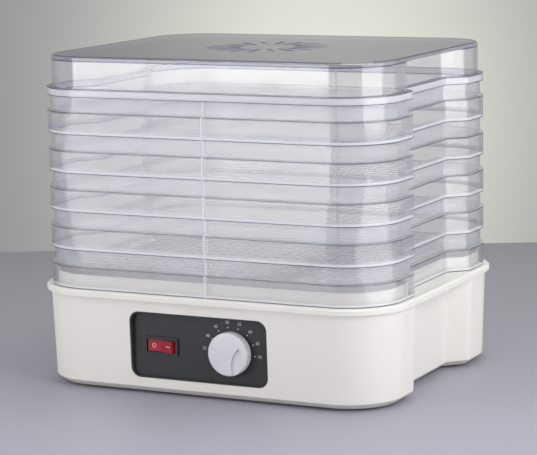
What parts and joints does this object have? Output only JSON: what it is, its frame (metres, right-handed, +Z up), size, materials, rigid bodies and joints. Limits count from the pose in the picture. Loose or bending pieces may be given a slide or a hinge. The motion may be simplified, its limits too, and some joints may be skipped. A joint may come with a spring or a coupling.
{
  "type": "food dehydrator",
  "caption": "Countertop food dehydrator with clear stacking trays and a vented clear lid on a white fan-heated base with a rocker switch and a temperature knob.",
  "frame": {"origin": "on the table under the middle of the base", "axes": "+Z up, +X to the right along the long side seen from the front, the control panel faces -Y"},
  "size_m": [0.33, 0.275, 0.2792],
  "materials": {
    "white_shell": "satin warm-white moulded plastic",
    "clear_plastic": "clear glossy moulded plastic with a slight violet-grey tint",
    "charcoal_panel": "satin charcoal plastic",
    "dark_grille": "dark grey plastic",
    "switch_black": "black plastic",
    "rocker_red": "translucent dark red plastic",
    "knob_pale": "pale grey plastic",
    "motor_black": "black painted steel",
    "steel": "plain sheet steel",
    "cream_plastic": "cream thermoset plastic",
    "rubber": "soft black rubber"
  },
  "bodies": {
    "base": {"base_housing": "white_shell", "base_deck": "white_shell", "outlet_grille": "dark_grille", "bottom_cover": "white_shell", "rubber_feet": "rubber", "control_panel": "charcoal_panel", "switch_body": "switch_black", "thermostat_body": "steel", "motor_bracket": "steel", "fan_motor": "motor_black", "heater_frame": "steel", "heater_element": "steel", "thermal_cutout": "steel", "terminal_block": "cream_plastic", "cord_inlet": "rubber"},
    "rocker": {"switch_rocker": "rocker_red"},
    "knob": {"temperature_knob": "knob_pale", "thermostat_shaft": "steel"},
    "fan": {"fan_impeller": "dark_grille", "motor_shaft": "steel"},
    "tray_1_body": {"tray_1": "clear_plastic", "tray_1_floor": "clear_plastic"},
    "tray_2_body": {"tray_2": "clear_plastic", "tray_2_floor": "clear_plastic"},
    "tray_3_body": {"tray_3": "clear_plastic", "tray_3_floor": "clear_plastic"},
    "tray_4_body": {"tray_4": "clear_plastic", "tray_4_floor": "clear_plastic"},
    "tray_5_body": {"tray_5": "clear_plastic", "tray_5_floor": "clear_plastic"},
    "lid_body": {"lid": "clear_plastic"}
  },
  "joints": [
    {"name": "rocker_tilt", "type": "hinge", "parent": "base", "child": "rocker", "pos_m": [-0.0385, -0.1255, 0.0416], "axis": [0, 0, 1], "range_deg": [0, 16]},
    {"name": "knob_turn", "type": "hinge", "parent": "base", "child": "knob", "pos_m": [0.0265, -0.1293, 0.041], "axis": [0, 1, 0], "range_deg": [-14, 166]},
    {"name": "fan_spin", "type": "hinge", "parent": "base", "child": "fan", "pos_m": [0, 0, 0.0475], "axis": [0, 0, 1], "continuous": true},
    {"name": "tray_1_lift", "type": "slide", "parent": "base", "child": "tray_1_body", "axis": [0, 0, 1], "range_m": [0, 0.06]},
    {"name": "tray_2_lift", "type": "slide", "parent": "tray_1_body", "child": "tray_2_body", "axis": [0, 0, 1], "range_m": [0, 0.06]},
    {"name": "tray_3_lift", "type": "slide", "parent": "tray_2_body", "child": "tray_3_body", "axis": [0, 0, 1], "range_m": [0, 0.06]},
    {"name": "tray_4_lift", "type": "slide", "parent": "tray_3_body", "child": "tray_4_body", "axis": [0, 0, 1], "range_m": [0, 0.06]},
    {"name": "tray_5_lift", "type": "slide", "parent": "tray_4_body", "child": "tray_5_body", "axis": [0, 0, 1], "range_m": [0, 0.06]},
    {"name": "lid_lift", "type": "slide", "parent": "tray_5_body", "child": "lid_body", "axis": [0, 0, 1], "range_m": [0, 0.06]}
  ]
}
